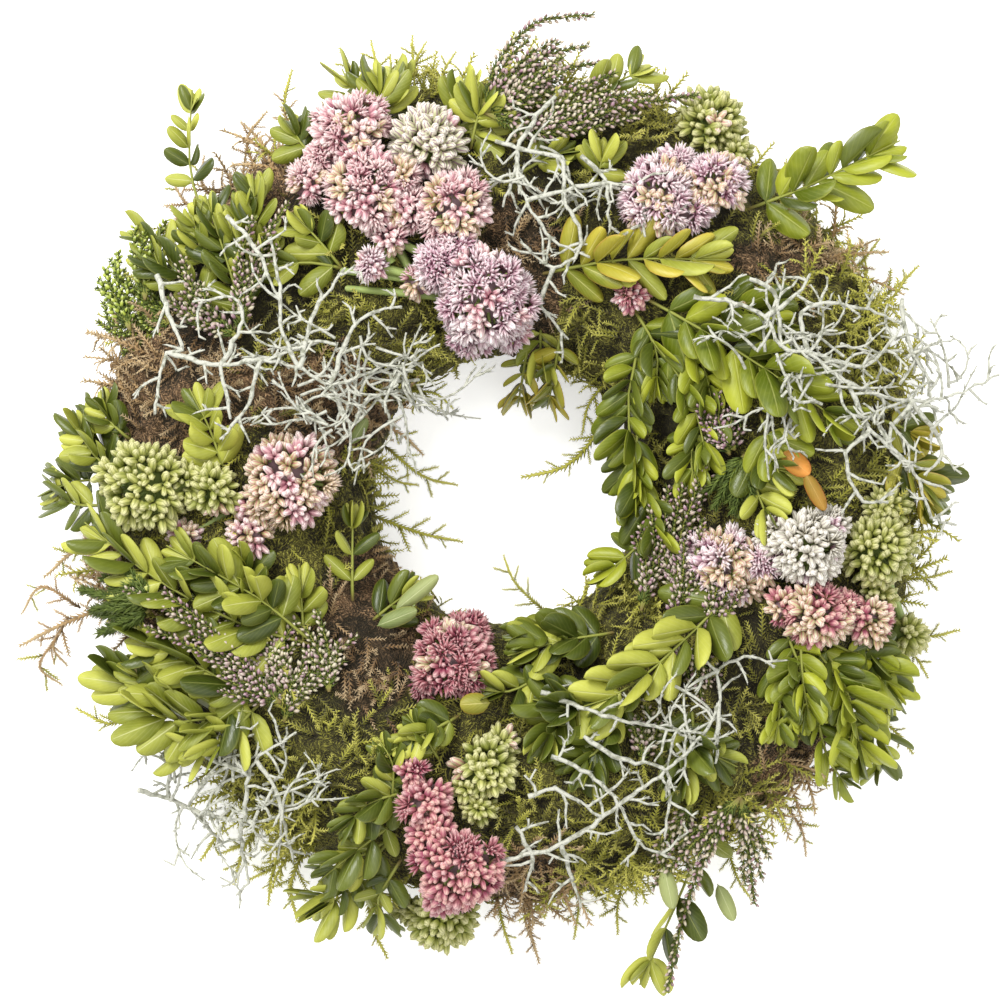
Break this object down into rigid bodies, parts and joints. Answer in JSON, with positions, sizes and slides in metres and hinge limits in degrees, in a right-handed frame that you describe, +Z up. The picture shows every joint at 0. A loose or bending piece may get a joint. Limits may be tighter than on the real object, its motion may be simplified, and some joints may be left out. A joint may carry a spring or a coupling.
{
  "type": "autumn wreath",
  "caption": "Round table or door wreath of moss on a straw ring, set with box sprigs, stonecrop heads, heather and silver bush.",
  "frame": {"origin": "under the middle of the whole wreath, on the surface it lies on", "axes": "+Z up out of the decorated face, towards the viewer of the picture; +X the picture's right, +Y the picture's top"},
  "size_m": [0.3994, 0.3954, 0.0902],
  "materials": {
    "straw": "matt, dry, fibrous",
    "wire": "satin green lacquer",
    "moss_green": "matt, soft, feathery",
    "moss_brown": "matt, dry, feathery",
    "box_bright": "satin leaf",
    "box_light": "satin leaf, pale underside",
    "box_dark": "glossy leaf",
    "box_olive": "satin leaf, olive yellow",
    "florets_white": "matt petals",
    "florets_pink": "matt petals",
    "florets_magenta": "matt petals",
    "florets_green": "waxy buds",
    "heather": "matt, papery buds",
    "scale_foliage": "satin scales",
    "silver_bush": "matt, felted"
  },
  "bodies": {
    "root": {"straw_ring": "straw", "binding_wire": "wire", "moss_right_upper": "moss_green", "moss_top": "moss_green", "moss_left_upper": "moss_brown", "moss_left_lower": "moss_green", "moss_bottom": "moss_green", "moss_right_lower": "moss_green", "box_sprigs_top": "box_light", "box_sprigs_top_centre": "box_light", "box_sprig_top_right_edge": "box_light", "box_sprigs_upper_left": "box_light", "box_sprig_upper_left_tip": "box_light", "box_sprigs_by_white_heads": "box_light", "box_sprigs_left_outer": "box_dark", "box_sprig_left_centre": "box_light", "box_sprigs_bottom_dark": "box_dark", "box_sprigs_bottom_left": "box_light", "box_sprig_bottom_left_inner": "box_light", "box_sprig_bottom_tip": "box_light", "box_sprig_right_outer": "box_dark", "box_sprig_hole_left": "box_light", "box_sprig_hole_top": "box_light", "sedum_white_top_left": "florets_white", "sedum_pink_top_left": "florets_pink", "sedum_lilac_hole_edge": "florets_pink", "sedum_pale_top_right": "florets_pink", "sedum_green_top_right": "florets_green", "sedum_green_left": "florets_green", "sedum_pink_left": "florets_pink", "sedum_pink_left_edge": "florets_pink", "sedum_white_right": "florets_white", "sedum_pale_right": "florets_pink", "sedum_green_right": "florets_green", "sedum_pink_right": "florets_pink", "sedum_magenta_hole_edge": "florets_magenta", "sedum_magenta_bottom": "florets_magenta", "sedum_green_bottom": "florets_green", "sedum_green_bottom_edge": "florets_green", "sedum_pink_small": "florets_pink", "heather_top": "heather", "heather_upper_left": "heather", "heather_left_lower": "heather", "heather_right": "heather", "heather_bottom_right": "heather", "scale_foliage_left": "scale_foliage", "box_sprigs_left_long": "box_bright", "box_sprigs_left_lower": "box_bright", "box_sprigs_right_lower": "box_bright", "box_sprigs_hanging_inner": "box_bright", "box_sprig_turning_right": "box_bright", "box_sprig_right_arching": "box_bright", "box_sprig_bottom_bright": "box_bright", "box_sprig_olive": "box_olive", "box_sprig_top_right": "box_bright", "silver_upper_left": "silver_bush", "silver_top_centre": "silver_bush", "silver_right": "silver_bush", "silver_bottom": "silver_bush", "silver_lower_left": "silver_bush"}
  },
  "joints": []
}
